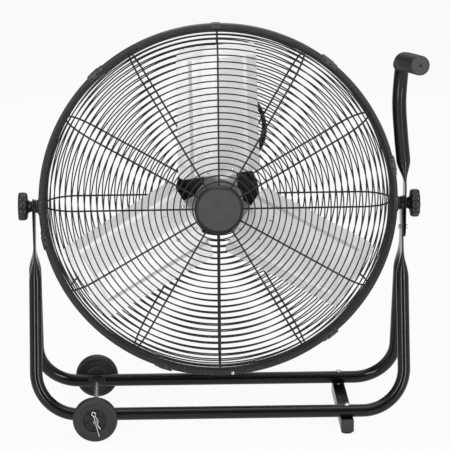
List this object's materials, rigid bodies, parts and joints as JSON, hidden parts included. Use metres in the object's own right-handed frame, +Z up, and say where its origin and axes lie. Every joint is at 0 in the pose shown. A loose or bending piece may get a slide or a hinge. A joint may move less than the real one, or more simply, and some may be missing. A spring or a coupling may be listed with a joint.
{
  "type": "drum fan",
  "caption": "Rolling floor fan: wire-cage head with aluminium blades, tilting in a cradle of bent tubes with wheels, a foot bar and a carry handle.",
  "frame": {"origin": "on the floor, under the middle of the bounding box without the cord's nodes", "axes": "+Z up; the front of the head faces -Y; +X is to the right seen from the front, the side with the handle"},
  "size_m": [0.765, 0.3386, 0.7681],
  "materials": {
    "frame_paint": "glossy black powder coat",
    "guard_paint": "satin black powder coat on wire",
    "hoop_paint": "satin black powder coat",
    "black_plastic": "moulded black plastic",
    "black_rubber": "soft matt black",
    "zinc": "bright zinc plate",
    "blade_aluminium": "mill finish sheet",
    "motor_paint": "black paint",
    "steel": "ground steel",
    "winding": "steel laminations with enamelled copper windings"
  },
  "bodies": {
    "frame": {"front_base_tube": "frame_paint", "rear_base_tube": "frame_paint", "handle_tube": "frame_paint", "handle_grip": "black_rubber", "handle_bolt": "zinc", "handle_nut": "zinc", "foot_bar": "frame_paint", "foot_bar_front_cap": "black_plastic", "foot_bar_rear_cap": "black_plastic", "foot_pad_front": "black_rubber", "foot_pad_rear": "black_rubber", "foot_screw_front": "zinc", "foot_screw_rear": "zinc", "wheel_axle": "zinc", "front_axle_saddle": "frame_paint", "rear_axle_saddle": "frame_paint", "front_wheel_clip": "zinc", "rear_wheel_clip": "zinc"},
    "rotor": {"motor_shaft": "steel", "motor_rotor": "steel", "blade_spider": "blade_aluminium", "shaft_nut": "zinc", "blade_1": "blade_aluminium", "blade_2": "blade_aluminium", "blade_3": "blade_aluminium"},
    "front_wheel": {"front_wheel": "black_plastic"},
    "rear_wheel": {"rear_wheel": "black_plastic"},
    "left_knob": {"left_knob": "black_plastic"},
    "right_knob": {"right_knob": "black_plastic"},
    "speed_knob": {"speed_knob": "black_plastic"},
    "cage": {"drum_band": "hoop_paint", "front_guard": "guard_paint", "rear_guard": "guard_paint", "centre_cap": "black_plastic", "rim_clip_1": "hoop_paint", "rim_clip_2": "hoop_paint", "rim_clip_3": "hoop_paint", "rim_clip_4": "hoop_paint", "rim_clip_5": "hoop_paint", "rim_clip_6": "hoop_paint", "rim_clip_7": "hoop_paint", "left_pivot_bracket": "hoop_paint", "left_pivot_spacer": "black_plastic", "left_pivot_bolt": "zinc", "right_pivot_bracket": "hoop_paint", "right_pivot_spacer": "black_plastic", "right_pivot_bolt": "zinc", "motor_mount_plate": "motor_paint", "motor_front_shell": "motor_paint", "motor_rear_shell": "motor_paint", "motor_stator": "winding", "front_bearing": "steel", "rear_bearing": "steel", "control_box": "black_plastic", "cord_gland": "black_rubber", "cord_lead": "black_rubber", "cord_hank": "black_rubber", "cord_tail": "black_rubber", "cord_tie": "black_rubber", "mains_plug": "black_rubber"}
  },
  "joints": [
    {"name": "head_tilt", "type": "hinge", "parent": "frame", "child": "cage", "pos_m": [-0.00298, -0.00625, 0.42], "axis": [1, 0, 0], "range_deg": [-90, 90]},
    {"name": "fan_spin", "type": "hinge", "parent": "cage", "child": "rotor", "pos_m": [-0.00298, -0.00625, 0.4255], "axis": [0, 1, 0], "continuous": true},
    {"name": "front_wheel_spin", "type": "hinge", "parent": "frame", "child": "front_wheel", "pos_m": [-0.24048, -0.14935, 0.042], "axis": [0, 1, 0], "continuous": true},
    {"name": "rear_wheel_spin", "type": "hinge", "parent": "frame", "child": "rear_wheel", "pos_m": [-0.24048, 0.13685, 0.042], "axis": [0, 1, 0], "continuous": true},
    {"name": "left_knob_turn", "type": "hinge", "parent": "cage", "child": "left_knob", "pos_m": [-0.36898, -0.00625, 0.42], "axis": [-1, 0, 0], "range_deg": [0, 450]},
    {"name": "right_knob_turn", "type": "hinge", "parent": "cage", "child": "right_knob", "pos_m": [0.36602, -0.00625, 0.42], "axis": [1, 0, 0], "range_deg": [0, 450]},
    {"name": "speed_knob_turn", "type": "hinge", "parent": "cage", "child": "speed_knob", "pos_m": [-0.00298, 0.16075, 0.4255], "axis": [0, -1, 0], "range_deg": [0, 270]}
  ]
}
